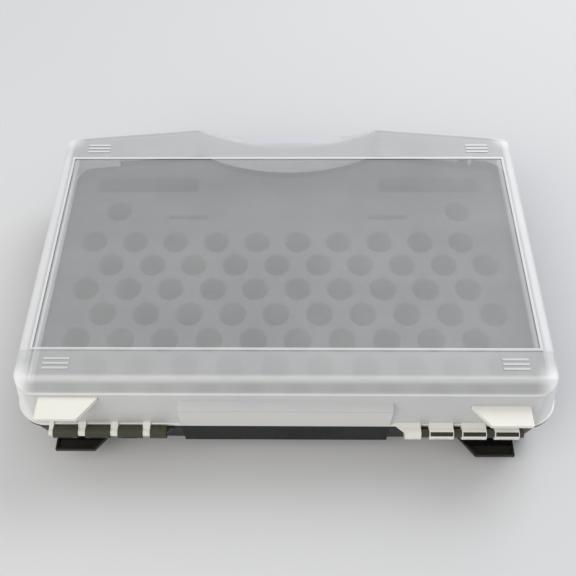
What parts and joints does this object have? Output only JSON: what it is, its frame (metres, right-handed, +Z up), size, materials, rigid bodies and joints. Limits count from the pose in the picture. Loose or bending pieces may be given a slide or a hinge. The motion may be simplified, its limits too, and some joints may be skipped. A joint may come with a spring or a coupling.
{
  "type": "bottle carry case",
  "caption": "Clamshell carry case of two identical half shells with a hinged translucent lid, snap latches, hand bar and a foam tray with round sockets for dropper bottles.",
  "frame": {"origin": "middle of the case in plan, at the face that it lies on", "axes": "+X along the hinges, +Y from the hinges to the hand bar, +Z up"},
  "size_m": [0.45, 0.3324, 0.1],
  "materials": {
    "base_plastic": "satin moulded",
    "lid_plastic": "frosted translucent",
    "latch_plastic": "satin moulded",
    "pin_steel": "drawn wire",
    "foam": "open-cell foam"
  },
  "bodies": {
    "base": {"base_shell": "base_plastic", "hinge_pin_left": "pin_steel", "hinge_pin_right": "pin_steel", "latch_pin_right": "pin_steel", "foam_tray": "foam", "foam_pad": "foam"},
    "lid": {"lid_shell": "lid_plastic", "latch_pin_left": "pin_steel"},
    "latch_left": {"latch_left": "latch_plastic"},
    "latch_right": {"latch_right": "latch_plastic"}
  },
  "joints": [
    {"name": "lid_hinge", "type": "hinge", "parent": "base", "child": "lid", "pos_m": [0, -0.1606, 0.05], "axis": [1, 0, 0], "range_deg": [0, 180]},
    {"name": "latch_left_pivot", "type": "hinge", "parent": "lid", "child": "latch_left", "pos_m": [-0.14534, 0.15128, 0.068], "axis": [0.9947, 0.1032, 0], "range_deg": [0, 110]},
    {"name": "latch_right_pivot", "type": "hinge", "parent": "base", "child": "latch_right", "pos_m": [0.14534, 0.15128, 0.032], "axis": [-0.9947, 0.1032, 0], "range_deg": [0, 110]}
  ]
}
